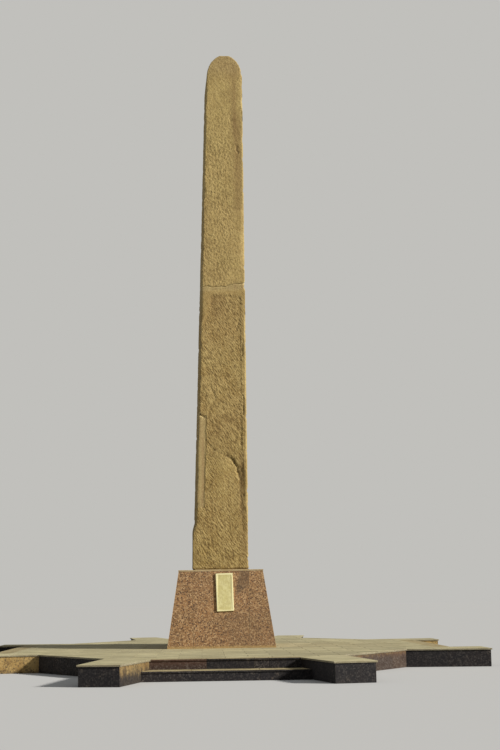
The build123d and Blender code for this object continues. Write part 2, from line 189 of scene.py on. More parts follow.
def use(tree, group, place, **inputs):
    """Adds a group to a material and returns its outputs."""
    return node(tree, "Group", {"node_tree": group}, Vector=place, **inputs).outputs


print("groups can be made")

# %% [markdown]
# ### Crystals
# Granite is a mass of pale, glassy and black crystals. A Voronoi texture divides space into cells,
# each with a random colour. One channel of it picks the pale crystals and another the dark ones.
# A little noise in the coordinates makes the cells less regular.

# %% Crystals
crystals, entry, leave = effect("Stone crystals", {"Size": 0.012}, ["Pale", "Dark", "Height"])
scale = calc(crystals, "DIVIDE", 1.0, entry["Size"])
wobble = node(crystals, "TexNoise", Vector=entry["Vector"], Scale=scale, Detail=1.0)
nudged = calc(
    crystals, "MULTIPLY_ADD", wobble.outputs["Color"], entry["Size"], entry["Vector"],
    kind="VectorMath",
)
cells = node(crystals, "TexVoronoi", Vector=nudged, Scale=scale)
pick = node(crystals, "SeparateColor", Color=cells.outputs["Color"]).outputs
feed(crystals, fade(crystals, pick["Red"], 0.52, 0.92), leave["Pale"])
feed(crystals, fade(crystals, pick["Green"], 0.36, 0.06), leave["Dark"])
feed(crystals, pick["Blue"], leave["Height"])

# %% [markdown]
# ### Tool marks
# The shaft was dressed by pounding, which leaves two kinds of marks. Pecks are small pits a few
# centimetres wide. Strokes are furrows that fall steeply to the right. Both are noise, turned
# and stretched by a Mapping node.

# %% Tool marks
tooling, entry, leave = effect("Tool marks", {"Peck size": 0.05}, ["Peck", "Stroke"])
fallen = node(
    tooling, "Mapping", {"vector_type": "TEXTURE"},
    Vector=entry["Vector"], Rotation=(0.0, radians(56), 0.0), Scale=(0.088, 0.08, 0.035),
)
feed(tooling, speckle(tooling, fallen.outputs[0], 1.0, 3.0, 0.6), leave["Stroke"])
upright = node(
    tooling, "Mapping", {"vector_type": "TEXTURE"},
    Vector=entry["Vector"], Rotation=(0.0, radians(-12), 0.0), Scale=(0.9, 0.9, 1.2),
)
scale = calc(tooling, "DIVIDE", 1.0, entry["Peck size"])
feed(tooling, speckle(tooling, upright.outputs[0], scale, 2.0, 0.6), leave["Peck"])

# %% [markdown]
# ### Weather
# Rain and sand leave cloudy blotches on stone, and streaks where water runs down. Both are
# noise. For streaks it is drawn out downwards.

# %% Weather
weather, entry, leave = effect(
    "Weather", {"Size": 0.5, "Streak width": 0.08}, ["Blotch", "Streak"]
)
scale = calc(weather, "DIVIDE", 1.0, entry["Size"])
clouds = speckle(weather, entry["Vector"], scale, 5.0, 0.6)
feed(weather, fade(weather, clouds, 0.36, 0.64), leave["Blotch"])
drawn_out = node(weather, "Mapping", Vector=entry["Vector"], Scale=(1.0, 1.0, 0.07))
scale = calc(weather, "DIVIDE", 1.0, entry["Streak width"])
runs = speckle(weather, drawn_out.outputs[0], scale, 3.0)
feed(weather, fade(weather, runs, 0.5, 0.68), leave["Streak"])

# %% [markdown]
# ### Worn edges
# An arris gets knocked and rubbed, and paler stone shows there. The Bevel node bends the normal
# near an edge. Where it differs from the true one, an edge is close. Noise breaks the line up.

# %% Worn edges
worn, entry, leave = effect("Worn edges", {"Width": 0.01}, ["Wear"])
rounded = node(worn, "Bevel", {"samples": 6}, Radius=entry["Width"])
agree = node(worn, "VectorMath", {"operation": "DOT_PRODUCT"})
feed(worn, rounded.outputs[0], agree.inputs[0])
feed(worn, node(worn, "NewGeometry").outputs["Normal"], agree.inputs[1])
near_edge = fade(worn, agree.outputs["Value"], 0.995, 0.86)
patchy = fade(worn, speckle(worn, entry["Vector"], 9.0, 4.0), 0.35, 0.6, 0.25)
feed(worn, times(worn, near_edge, patchy), leave["Wear"])

# %% [markdown]
# ### Dust
# Pale desert dust settles on every surface that looks up, which the normal tells. Noise lets it
# drift.

# %% Dust
dust, entry, leave = effect("Dust", {}, ["Lying"])
drift = fade(dust, speckle(dust, entry["Vector"], 2.2, 5.0, 0.65), 0.4, 0.62, 0.2)
feed(dust, times(dust, fade(dust, upward(dust), 0.4, 0.95), drift), leave["Lying"])

# %% [markdown]
# ## Materials
# Every material starts with a Principled shader, the object's own coordinates and an output. It
# ends with the shader's colour, and a Bump node that turns a height into dents in the light.

# %% Start and end of a material
SHINE = 0.3  # how much light any of these stones reflects like glass
materials = {}


def stone(name, roughness):
    """Starts a material: its node tree, its shader, and the object's coordinates in metres."""
    material = materials[name] = bpy.data.materials.new(name)
    material.use_nodes = True
    tree = material.node_tree
    tree.nodes.clear()
    shader = node(tree, "BsdfPrincipled", Roughness=roughness, Specular_IOR_Level=SHINE)
    node(tree, "OutputMaterial", Surface=shader.outputs[0])
    print("made the material", name)
    return tree, shader, node(tree, "TexCoord").outputs["Object"]


def dress(tree, shader, tone, height, depth):
    """Feeds the shader its colour, and its normal from a height worth so many metres."""
    bump = node(tree, "Bump", Height=height, Distance=depth)
    feed(tree, tone, shader.inputs["Base Color"])
    feed(tree, bump.outputs[0], shader.inputs["Normal"])


def attribute(tree, name):
    """A value that the mesh carries at its points or faces."""
    return node(tree, "Attribute", {"attribute_name": name}).outputs["Fac"]


print("materials can be made")

# %% [markdown]
# ### The shaft's granite
# The shaft was pecked and worn for ages: ochre on the smooth margins, browner in the rough
# field, pinkish in places. Hollows get painted shade and crests painted highlights, along with
# paler worn arrises, and the tool marks are painted darker in their pits and lighter on top. The
# mesh carries what the shape knows: how hollow a point is, how rough, how much of it is mortar,
# and where stains and one patch of painted shade lie. The nodes add grain and clouds.

# %% Shaft granite
# Heights between which one tone turns into the next
BREAK_ZONE, HEAD_ZONE, MORTAR_ZONE = (9.0, 8.6), (14.2, 14.6), (7.5, 6.5)
tree, shader, place = stone("shaft_granite", 0.9)
grain = use(tree, crystals, place, Size=0.02)
clouds = use(tree, weather, place, Size=0.42, Streak_width=0.11)
wide = use(tree, weather, place, Size=1.7, Streak_width=0.3)
marks = use(tree, tooling, place, Peck_size=0.056)
hollow, stain_and_shade, mended = (attribute(tree, name) for name in ("hollow", "stain_and_shade", "mended"))
height = split(tree, place)["Z"]
lower = fade(tree, height, *BREAK_ZONE)
# The lower block has strokes and the upper one pecks, and mortar has little of either
tooled = node(tree, "Mix", Factor=lower, A=marks["Peck"], B=marks["Stroke"]).outputs[0]
work = times(
    tree, calc(tree, "MULTIPLY_ADD", attribute(tree, "rough"), 0.75, 0.25),
    calc(tree, "MULTIPLY_ADD", mended, -0.8, 1.0),
)
deep = times(
    tree, fade(tree, tooled, 0.5, 0.36), work, calc(tree, "MULTIPLY_ADD", lower, 0.14, 0.5)
)
high = times(tree, fade(tree, tooled, 0.52, 0.66), work)
mortar = mixed(tree, fade(tree, height, *MORTAR_ZONE), (158, 138, 93), (146, 128, 87))
mortar = layered(tree, mortar, (clouds["Streak"], 0.6, (138, 112, 76)))
tone = mixed(
    tree, clouds["Blotch"],
    mixed(tree, lower, (155, 134, 82), (146, 122, 70)),
    mixed(tree, lower, (172, 151, 95), (165, 143, 89)),
)
tone = layered(
    tree, tone,
    # Pinkish clouds, a brown head and dark streaks
    (wide["Blotch"], 0.25, (156, 124, 82)),
    (fade(tree, height, *HEAD_ZONE), 0.35, (136, 114, 84)),
    (clouds["Streak"], 0.22, (130, 105, 60)),
    (mended, 0.85, mortar),
    (grain["Pale"], 0.25, (194, 174, 124)),
    (grain["Dark"], 0.3, (92, 72, 44)),
    # Marks of tools, with painted shade in their pits and painted highlights on their tops
    (deep, 1.0, (94, 72, 38)),
    (high, 0.4, (192, 168, 112)),
    # Painted shade in the mesh's hollows, and painted highlights on its crests with paler wear
    (fade(tree, hollow, 0.58, 0.95), 0.5, (66, 50, 28)),
    (fade(tree, hollow, 0.42, 0.1), 0.7, (206, 186, 132)),
    # Stains, and one patch of painted shade below the ledge
    (stain_and_shade, 1.0, (118, 92, 56)),
)
fine = speckle(tree, place, 60.0, 4.0, 0.7)
relief = calc(tree, "MULTIPLY_ADD", fine, 0.2, times(tree, tooled, work))
dress(tree, shader, tone, relief, 0.038)

# %% [markdown]
# ### Mortar
# The bed under the shaft is mortar, smoother and more even than the stone. Sand grains give it a
# fine tooth, and the trowel left soft waves.

# %% Mortar
tree, shader, place = stone("repair_mortar", 0.92)
clouds = use(tree, weather, place, Size=0.3, Streak_width=0.06)
sand = speckle(tree, place, 160.0, 3.0)
trowel = speckle(tree, place, 9.0, 4.0)
tone = layered(
    tree, mixed(tree, clouds["Blotch"], (154, 132, 88), (167, 146, 100)),
    (clouds["Streak"], 0.4, (164, 132, 104)),
    (fade(tree, sand, 0.55, 0.75), 0.3, (120, 102, 70)),
)
dress(tree, shader, tone, calc(tree, "MULTIPLY_ADD", sand, 0.12, trowel), 0.01)

# %% [markdown]
# ### Speckled slabs
# The pedestal and the terrace's walls are clad in granite slabs. On the pedestal they are
# reddish brown and freckled. On the walls they are brown black, partly as painted shade, and
# where they look towards the sun they get painted sunlight in ochre. One function starts both,
# with other colours.

# %% Granite slabs
def slab_granite(name, roughness, size, body, warm, pale, dark, arris):
    """Starts a speckled granite, and gives what a caller needs to go on with it."""
    tree, shader, place = stone(name, roughness)
    grain = use(tree, crystals, place, Size=size)
    coarse = use(tree, crystals, place, Size=size * 2.2)
    clouds = use(tree, weather, place, Size=0.35, Streak_width=0.07)
    edges = use(tree, worn, place, Width=0.012)
    tone = layered(
        tree, mixed(tree, clouds["Blotch"], body, warm),
        (coarse["Pale"], 0.22, pale), (coarse["Dark"], 0.24, dark),
        (grain["Pale"], 0.9, pale), (grain["Dark"], 0.95, dark),
        (edges["Wear"], 0.8, arris),
    )
    return tree, shader, place, tone, grain["Height"], clouds["Blotch"]


CRYSTAL_DENT = 0.002  # in metres
print("granite slabs can be made")

# %% [markdown]
# On the pedestal's front there is a darker, greyish patch to the right of the plaque, cut off
# slantwise at its foot. The stone low on the right is duller, the joints are faint, and ochre
# dust lies along the foot. Each is a mask made from the place on the pedestal.

# %% Pedestal granite
JOINT_FROM_MIDDLE = 0.6475  # where the pedestal's upright joints are
# Where each mask fades in, and how the patch's left side and foot slant
PATCH_LEFT, PATCH_RIGHT, PATCH_FOOT = (0.0, 0.03), (0.65, 0.64), (1.23, 1.29)
LEFT_SLANT, FOOT_SLANT = -0.2, -0.85
DULL_LEFT, DULL_TOP, DUST_TOP = (-0.2, 0.3), (1.5, 1.0), (0.46, 0.4)
tree, shader, place, tone, crystal_height, _ = slab_granite(
    "pedestal_granite", 0.6, 0.021, body=(131, 99, 64), warm=(149, 111, 72),
    pale=(184, 152, 112), dark=(74, 54, 42), arris=(204, 172, 128),
)
east, _, height = split(tree, place)
patch = times(
    tree, fade(tree, calc(tree, "MULTIPLY_ADD", height, LEFT_SLANT, east), *PATCH_LEFT),
    fade(tree, east, *PATCH_RIGHT),
    fade(tree, calc(tree, "MULTIPLY_ADD", east, FOOT_SLANT, height), *PATCH_FOOT),
)
dull = times(tree, fade(tree, east, *DULL_LEFT), fade(tree, height, *DULL_TOP))
from_joint = calc(tree, "SUBTRACT", calc(tree, "ABSOLUTE", east), JOINT_FROM_MIDDLE)
tone = layered(
    tree, tone,
    (patch, 0.55, (88, 72, 54)),
    (dull, 0.25, (104, 84, 62)),
    (fade(tree, calc(tree, "ABSOLUTE", from_joint), 0.012, 0.006), 0.25, (84, 64, 46)),
    (fade(tree, height, *DUST_TOP), 0.7, (166, 138, 88)),
)
dress(tree, shader, tone, crystal_height, CRYSTAL_DENT)

# %% [markdown]
# On the walls the mesh carries two values: how dark or reddish each slab is, and how much painted
# sunlight in ochre a face gets. The weaker that is, the sooner it gives way to painted shade
# towards the ground, and chips and cracks break it up. On a tread the same value gives a paler and
# more even tone, where feet have rubbed it.

# %% Wall granite
# Below these heights painted sunlight and the reddish tone fade towards painted shade
PAINTED_SUN_FOOT, REDDISH_FOOT = (0.66, 0.86), (0.2, 0.36)  # heights where these tones set in
tree, shader, place, tone, crystal_height, blotch = slab_granite(
    "wall_granite", 0.8, 0.022, body=(36, 32, 31), warm=(50, 41, 36),
    pale=(96, 90, 84), dark=(14, 13, 15), arris=(134, 122, 106),
)
slab, painted_sun_and_tread_value = attribute(tree, "tone"), attribute(tree, "painted_sun_and_tread")
height = split(tree, place)["Z"]
scuffs = node(tree, "TexNoise", Vector=place, Scale=7.0, Detail=7.0, Roughness=0.75).outputs
chips = speckle(tree, place, 26.0, 6.0, 0.7)
bent = calc(
    tree, "MULTIPLY_ADD", scuffs["Color"], (0.5, 0.5, 0.5), place, kind="VectorMath"
)
cracks = node(tree, "TexVoronoi", {"feature": "DISTANCE_TO_EDGE"}, Vector=bent, Scale=1.9)
raised = calc(tree, "MULTIPLY_ADD", scuffs["Fac"], 0.5, height)
raised = calc(tree, "MULTIPLY_ADD", painted_sun_and_tread_value, 0.5, raised)
painted_sun_and_tread = times(
    tree, painted_sun_and_tread_value, fade(tree, raised, *PAINTED_SUN_FOOT, 0.08), fade(tree, chips, 0.38, 0.5, 0.35),
    fade(tree, cracks.outputs["Distance"], 0.008, 0.03, 0.3),
)
tread = times(
    tree, painted_sun_and_tread_value, fade(tree, upward(tree), 0.4, 0.95), fade(tree, chips, 0.32, 0.5, 0.65)
)
reddish = times(tree, fade(tree, slab, 0.3, 0.0), fade(tree, height, *REDDISH_FOOT, 0.4))
tone = layered(
    tree, tone,
    # Reddish slabs darken towards the ground as painted shade; dark ones are partly painted shade
    (reddish, 0.7, (86, 60, 46)),
    (slab, 0.75, (25, 23, 26)),
    (fade(tree, scuffs["Fac"], 0.58, 0.7), 0.45, (122, 110, 96)),
    (use(tree, dust, place)["Lying"], 0.35, (84, 80, 76)),
    # Painted sunlight in ochre, then the treads' own paler tone
    (painted_sun_and_tread, 1.0, mixed(tree, blotch, (150, 120, 70), (182, 154, 98))),
    (tread, 1.0, mixed(tree, blotch, (156, 142, 106), (188, 174, 132))),
)
dress(tree, shader, tone, crystal_height, CRYSTAL_DENT)

# %% [markdown]
# ### Paving and cap stone
# The terrace is paved with pale limestone slabs that feet have worn. The mesh carries the shade
# of each slab, and which faces are level: worn edges are fainter there. The cap under the shaft
# is the same stone, browner.

# %% Pale stone
def pale_stone(name, body, deep, roughness, painted_upright_shade):
    """Worn pale stone with clouds and pits, and painted shade on its upright faces."""
    tree, shader, place = stone(name, roughness)
    clouds = use(tree, weather, place, Size=0.55, Streak_width=0.05)
    wide = use(tree, weather, place, Size=2.4, Streak_width=0.2)
    edges = use(tree, worn, place, Width=0.014)
    pits = speckle(tree, place, 42.0, 6.0, 0.75)
    tone = layered(
        tree, mixed(tree, clouds["Blotch"], deep, body),
        (attribute(tree, "tone"), 0.42, (138, 130, 104)),
        (wide["Blotch"], 0.25, (134, 126, 100)),
        (fade(tree, pits, 0.56, 0.74), 0.5, (112, 102, 80)),
        # Painted shade on faces that do not look up
        (fade(tree, upward(tree), 0.8, 0.3), painted_upright_shade, (84, 74, 58)),
        (edges["Wear"], calc(tree, "SUBTRACT", 0.9, attribute(tree, "level")), (222, 212, 186)),
    )
    dress(tree, shader, tone, pits, 0.006)


pale_stone("paving_stone", (210, 200, 158), (186, 176, 136), 0.82, 0.7)
pale_stone("cap_stone", (172, 148, 104), (154, 130, 90), 0.85, 0.0)

# %% [markdown]
# ### The plaque and the core
# The plaque is a slab of cream marble, left bare. Its raised border has been rubbed paler than
# the field within it. A Mapping node centres the coordinates on the plaque and turns them with
# it, so that the border is where either distance from the middle is large.

# %% Plaque marble
PLAQUE_TURN = 1.6  # degrees
PLAQUE_FIELD = (0.32, 0.803)  # width and height within the border
tree, shader, place = stone("plaque_marble", 0.42)
clouds = use(tree, weather, place, Size=0.16, Streak_width=0.025)
edges = use(tree, worn, place, Width=0.008)
from_vein = calc(tree, "SUBTRACT", speckle(tree, place, 4.0, 6.0, 0.65), 0.5)
low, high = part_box("front_plaque")
centred = node(
    tree, "Mapping", {"vector_type": "TEXTURE"}, Vector=place,
    Location=tuple((low + high) / 2), Rotation=(0.0, radians(PLAQUE_TURN), 0.0),
)
apart = split(tree, calc(tree, "ABSOLUTE", centred.outputs[0], kind="VectorMath"))
beyond = calc(
    tree, "MAXIMUM", calc(tree, "SUBTRACT", apart["X"], PLAQUE_FIELD[0] / 2),
    calc(tree, "SUBTRACT", apart["Z"], PLAQUE_FIELD[1] / 2),
)
tone = layered(
    tree, mixed(tree, clouds["Blotch"], (198, 188, 130), (214, 206, 152)),
    (fade(tree, calc(tree, "ABSOLUTE", from_vein), 0.035, 0.0), 0.35, (166, 150, 104)),
    (clouds["Streak"], 0.35, (172, 156, 104)),
    (fade(tree, beyond, -0.006, 0.002), 0.85, (236, 228, 178)),
    (edges["Wear"], 0.6, (232, 224, 186)),
)
dress(tree, shader, tone, speckle(tree, place, 120.0, 3.0), 0.0012)

# %% [markdown]
# The core is rough concrete that hardly shows, but it still gets a finish of its own.

# %% Core masonry
tree, shader, place = stone("core_masonry", 0.95)
gravel = use(tree, crystals, place, Size=0.05)
clouds = use(tree, weather, place, Size=0.6, Streak_width=0.1)
tone = layered(
    tree, mixed(tree, clouds["Blotch"], (120, 114, 104), (142, 136, 124)),
    (gravel["Pale"], 0.5, (166, 160, 148)),
)
dress(tree, shader, tone, gravel["Height"], 0.012)

# %% [markdown]
# ## Finishes on the CAD solids
# The record names a material slot for each solid. Its material goes into the object's own slot,
# and the mesh stays as it is. Live bevels round the arrises a little, because no real stone
# ends in a knife edge.

# %% Dress the CAD solids
slots = {row["node"]: row["material_slot"] for row in frame["record"]["subparts"]}
for name, solid in frame["nodes"].items():
    solid.data.materials.clear()
    solid.data.materials.append(materials[slots[name]])


def round_arrises(piece, width):
    """A live bevel on the sharp edges of a piece."""
    bevel = piece.modifiers.new("Worn arrises", "BEVEL")
    bevel.width = width
    bevel.segments = 2
    bevel.limit_method = "ANGLE"
    bevel.angle_limit = radians(35)


print(len(slots), "solids have a finish")

# %% [markdown]
# ## Pieces that stand for a solid
# Where a surface needs real relief, a new piece takes the solid's place. It starts as a copy of
# the solid's mesh, which is loose triangles. So the copy's points are merged and flat triangles
# joined before any tool works on it.

# %% Copy solids and finish a piece
def merged_copy(*solids):
    """A bmesh of CAD solids, with whole flat faces."""
    shape = bmesh.new()
    for solid in solids:
        shape.from_mesh(frame["nodes"][solid].data)
    bmesh.ops.remove_doubles(shape, verts=shape.verts, dist=0.0002)
    bmesh.ops.dissolve_limit(
        shape, angle_limit=radians(0.5), verts=shape.verts, edges=shape.edges
    )
    return shape


def finished(name, shape, solids, smooth):
    """Makes a bmesh an object that stands for CAD solids and wears the first one's material."""
    mesh = bpy.data.meshes.new(name)
    shape.to_mesh(mesh)
    shape.free()
    mesh.polygons.foreach_set("use_smooth", [smooth] * len(mesh.polygons))
    mesh.materials.append(materials[slots[solids[0]]])
    piece = bpy.data.objects.new(name, mesh)
    scene.collection.objects.link(piece)
    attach(piece, "root")
    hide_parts(*solids)
    print(name, len(mesh.polygons), "faces")
    return piece


print("copies can be made")

# %% [markdown]
# ## The line of the shaft
# The shaft tapers, leans a little to the right and is turned a little on its pedestal. To put a
# scar where the real one is, a point is turned back into a place on the shaft: how far across the
# narrow face it is, from -1 at the left edge to 1 at the right, and how high above the foot.

# %% Places on the shaft
FOOT_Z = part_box("shaft_bed")[1].z
SHAFT_TURN = radians(2)
SPRING_HEIGHT = 12.11  # where the head starts to round
HALF_FOOT, HALF_HEAD = 0.6325, 0.445
HEAD_LEAN = 0.205
BREAK_HEIGHT = 6.75
NARROW_FACE = 0.63  # points this far to the front or back are on a narrow face


def on_shaft(point):
    """Share across the narrow face, half its width, then metres across, backwards and up."""
    x = point.x * cos(SHAFT_TURN) + point.y * sin(SHAFT_TURN)
    y = point.y * cos(SHAFT_TURN) - point.x * sin(SHAFT_TURN)
    z = point.z - FOOT_Z
    rise = z / SPRING_HEIGHT
    half = HALF_FOOT + (HALF_HEAD - HALF_FOOT) * rise
    x -= HEAD_LEAN * rise
    return x / half, half, x, y, z


print("foot of the shaft at", round(FOOT_Z, 3), "m")

# %% [markdown]
# ## Weathering the shaft
# A voxel remesh gives the block an even skin of small faces. Then each point moves inwards by
# noise: long soft waves, pecks of a few centimetres, and on the rough field diagonal strokes,
# as the photograph shows. Only the lips of the break and the ledge also shift sideways or up.

# %% Noise and roughness
FIELD_TOP = 6.62
FIELD_CORNER = 0.2  # radius of the field's upper corners
# Margins beside the field: width, then start, end and softness upwards
LEFT_WIDTH, LEFT_HEIGHTS = 0.19, (5.9, 7, 0.5)
RIGHT_WIDTH, RIGHT_HEIGHTS = 0.1, (1.2, 7, 0.5)
# Areas of the front: start, end and softness across, then the same upwards
PECKED = (-2, 0.42, 0.7), (6.5, 10.9, 1.2)
BELOW_LEDGE = (-0.3, 0.7, 0.25), (1.6, 2.65, 0.5)
STROKE_FALL = radians(58)


def band(value, start, end, soft):
    """1 between start and end, 0 outside, with soft ends."""
    rise = min(max((value - start) / soft + 0.5, 0), 1)
    fall = min(max((end - value) / soft + 0.5, 0), 1)
    return rise * fall


def area(across, z, sideways, heights):
    """1 within an area of the front, 0 outside."""
    return band(across, *sideways) * band(z, *heights)


def lumps(place, sizes, shift=(0, 0, 0)):
    """Noise from -1 to 1, with lumps of these sizes."""
    return noise.noise(Vector([p / size + s for p, size, s in zip(place, sizes, shift)]))


def strokes(x, y, z):
    """Noise from 0 to 1, drawn out along lines that fall to the right."""
    along = x * cos(STROKE_FALL) - z * sin(STROKE_FALL)
    beside = x * sin(STROKE_FALL) + z * cos(STROKE_FALL)
    return 0.5 + 0.5 * lumps((along, beside, y), (0.13, 0.05, 0.2), (0, 0, 4))


def rough_share(across, half, x, y, z):
    """How rough the face is at a place: the sunk field is, the margins are not."""
    narrow = abs(y) > NARROW_FACE
    if z > BREAK_HEIGHT:
        return 0.2 + 0.5 * area(across, z, *PECKED) if narrow else 0.45
    if not narrow:
        return 0.6
    # The margins' widths at this height, and how far into the field the place is
    left_margin = LEFT_WIDTH * band(z, *LEFT_HEIGHTS)
    right_margin = RIGHT_WIDTH * band(z, *RIGHT_HEIGHTS) - 0.02
    inside = min(x + half - left_margin, half - right_margin - x)
    inside = min(max(inside, 0), FIELD_CORNER)
    # The field's upper corners are round, and it is smoother below the ledge
    top = FIELD_TOP - FIELD_CORNER + (FIELD_CORNER ** 2 - (FIELD_CORNER - inside) ** 2) ** 0.5
    field = band(x, left_margin - half, half - right_margin, 0.05) * band(z, -1, top, 0.06)
    return max(field * (1 - 0.5 * area(across, z, *BELOW_LEDGE)), 0.08)


print("noise ready")

# %% [markdown]
# Each single mark is a line on the front face with a width and a depth: the fissures, chips and
# notches that one can pick out in the photograph. Seven of them in a row are the ledge.

# %% Marks on the front
# Share across and height of both ends, half width, depth
MARKS = (
    ((-1.05, 3.7), (-0.74, 3.6), 0.03, 0.05),
    ((-0.53, 4.33), (-0.3, 4.08), 0.03, 0.02),
    ((-0.72, 3.05), (-0.39, 2.83), 0.03, 0.016),
    ((-0.39, 2.83), (0.09, 2.69), 0.03, 0.018),
    ((0.09, 2.69), (0.38, 2.59), 0.035, 0.03),
    ((0.38, 2.59), (0.54, 2.45), 0.04, 0.04),
    ((0.54, 2.45), (0.69, 2.09), 0.035, 0.035),
    ((0.69, 2.09), (0.72, 1.62), 0.03, 0.025),
    ((0.72, 1.62), (0.79, 0.91), 0.03, 0.02),
    ((-0.61, 1.81), (-0.49, 2.05), 0.025, 0.014),
    ((0.75, 5.72), (0.76, 4.98), 0.025, 0.006),
    ((0.57, 5.64), (0.7, 5.96), 0.028, 0.018),
    ((0.71, 3.64), (0.74, 2.92), 0.028, 0.008),
    ((0.63, 10.35), (0.73, 10.17), 0.03, 0.025),
    ((0.31, 11.07), (0.37, 10.96), 0.028, 0.018),
)
LEDGE = [(start, end) for start, end, width, deep in MARKS[2:9]]
LEDGE_LIP = LEDGE[:5]  # where the stone above the ledge is worn to a slope
# How far noise shifts a mark, and the stone at the lips of the break and the ledge
RAGGED, BREAK_SHIFT, LEDGE_SHIFT = 0.03, 0.035, 0.022


def from_line(x, z, half, start, end):
    """How far a place on the front is from a line, or 1 where it is far above or below."""
    if not min(start[1], end[1]) - 0.2 < z < max(start[1], end[1]) + 0.2:
        return 1.0
    first = Vector((start[0] * half, start[1]))
    line = Vector((end[0] * half, end[1])) - first
    place = Vector((x, z)) - first
    share = min(max(place.dot(line) / line.length_squared, 0), 1)
    return (place - line * share).length


def mark_depth(x, z, half):
    """How deep the marks are at a place on the front, in metres. Noise makes them ragged."""
    sizes = (0.09, 0.09, 1)
    moved_x = x + RAGGED * lumps((x, z, 0), sizes)
    moved_z = z + RAGGED * lumps((x, z, 0), sizes, (5, 9, 2))
    depth = 0.0
    for start, end, width, deep in MARKS:
        distance = from_line(moved_x, moved_z, half, start, end)
        depth = max(depth, deep * max(1 - distance / width, 0))
    return depth


def ledge_slope(x, z, half):
    """Depth worn off the upper lip of the ledge, in metres."""
    for start, end in LEDGE_LIP:
        share = (x / half - start[0]) / (end[0] - start[0])
        if 0 <= share < 1:
            above = z - start[1] - (end[1] - start[1]) * share
            lip = max(1 - above / 0.12, 0) if above > 0 else 0
            ragged = 0.5 + 0.9 * lumps((x, z, 0), (0.1, 0.1, 1), (0, 0, 4))
            return 0.02 * lip * max(ragged, 0) * band(x / half, 0.1, 2, 0.2)
    return 0.0


def crumbled(x, y, z, half):
    """How far a point near the break or the ledge is moved, to make the lip ragged."""
    near = band(z, BREAK_HEIGHT - 0.1, BREAK_HEIGHT + 0.25, 0.2)
    move = UP * (BREAK_SHIFT * lumps((x, y, 0), (0.16, 0.3, 1), (0, 0, 7)) * near)
    if y < 0 and 0.7 < z < 3.3:
        distance = min(from_line(x, z, half, start, end) for start, end in LEDGE)
        near = max(1 - distance / 0.2, 0)
        sizes = (0.12, 0.12, 0.12)
        move.x += LEDGE_SHIFT * lumps((x, y, z), sizes) * near
        move.z += LEDGE_SHIFT * lumps((x, y, z), sizes, (3, 1, 8)) * near
    return move


print(len(MARKS), "marks")

# %% [markdown]
# The skin of one block is remeshed and its points are moved. A point is hollow where its
# neighbours now stand further out. The material paints shade into hollows, and highlights
# onto crests along with paler wear.

# %% Skin of a block
def even_skin(solids, voxel):
    """A bmesh of CAD solids as one, with small even faces."""
    mesh = bpy.data.meshes.new("even skin")
    shape = merged_copy(*solids)
    shape.to_mesh(mesh)
    shape.free()
    maker = bpy.data.objects.new("even skin", mesh)
    scene.collection.objects.link(maker)
    remesh = maker.modifiers.new("Even faces", "REMESH")
    remesh.mode = "VOXEL"
    remesh.voxel_size = voxel
    graph = bpy.context.evaluated_depsgraph_get()
    even = bpy.data.meshes.new_from_object(maker.evaluated_get(graph))
    bpy.data.objects.remove(maker)
    shape = bmesh.new()
    shape.from_mesh(even)
    shape.normal_update()
    return shape


def store_hollows(shape):
    """Stores how hollow each point is: 0.5 is flat, 1 a hollow, 0 a crest."""
    layer = shape.verts.layers.float.new("hollow")
    for vert in shape.verts:
        # The edge at the foot of the shaft is no crest
        if vert.co.z < FOOT_Z + 0.05:
            vert[layer] = 0.5
            continue
        around = [edge.other_vert(vert).co for edge in vert.link_edges]
        middle = sum(around, Vector()) / len(around)
        reach = sum((other - vert.co).length for other in around) / len(around)
        vert[layer] = min(max(0.5 + (middle - vert.co).dot(vert.normal) / reach * 1.4, 0), 1)


def weathered(name, solids, voxel, relief):
    """One skin for some solids, moved inwards by what relief says at each point."""
    shape = even_skin(solids, voxel)
    layers = [shape.verts.layers.float.new(label) for label in ("rough", "stain_and_shade", "mended")]
    moves = []
    for vert in shape.verts:
        depth, *values = relief(vert.co)
        for layer, value in zip(layers, values):
            vert[layer] = value
        across, half, x, y, z = on_shaft(vert.co)
        # At the break mortar fills the gap, so the relief moves points sideways only
        inwards = -vert.normal
        inwards.z *= 1 - band(z, BREAK_HEIGHT - 0.25, BREAK_HEIGHT + 0.35, 0.1)
        moves.append(inwards * depth + crumbled(x, y, z, half))
    for vert, move in zip(shape.verts, moves):
        vert.co += move
    shape.normal_update()
    store_hollows(shape)
    finished(name, shape, solids, True)


print("skins can be made")

# %% [markdown]
# The relief of the granite puts it all together. The corners lose more than the faces, and
# unevenly: that gives the nibbled arrises. Mortar is smoother.

# %% Relief of granite
# Depths in metres: waves, pecks on smooth and on rough stone, and strokes
WAVE, PECK, ROUGH_PECK, STROKE = 0.005, 0.002, 0.01, 0.011
BITE, BITE_REACH = 0.045, 0.07  # depth at an arris, and how far from it
REPAIR_SLOPE, REPAIR_AREA = 0.021, ((0.09, 1, 0.09), (0, 4, 0.1))
MARGIN_SLOPE, MARGIN_REACH, MARGIN_HEIGHTS = 0.019, 0.055, (2.7, 6.4, 0.4)
RIGHT_MARGIN = 0.095  # width of the smooth strip along the right arris
ABOVE_BED = (0.06, 20, 0.08)
HEAD_STAIN = (0.3, 0.72, 0.25), (10.6, 12.4, 0.5)
# Brownish stains on the front, one of them painted shade: strength, then an area
STAINS_AND_SHADE = (
    (0.5, (0.5, 0.93, 0.25), (8.6, 11.0, 0.8)),
    # Painted shade on the scar below the ledge
    (0.5, (0.66, 0.86, 0.12), (1.3, 2.7, 0.4)),
    (0.25, (0.7, 0.97, 0.12), (0.2, 1.5, 0.3)),
    (0.15, (-1.2, -0.7, 0.2), (7.2, 9.2, 0.6)),
    (0.2, (-0.7, 0.4, 0.3), (2.6, 3.5, 0.4)),
    (0.3, (-0.6, 0.1, 0.12), (6.05, 6.6, 0.12)),
)


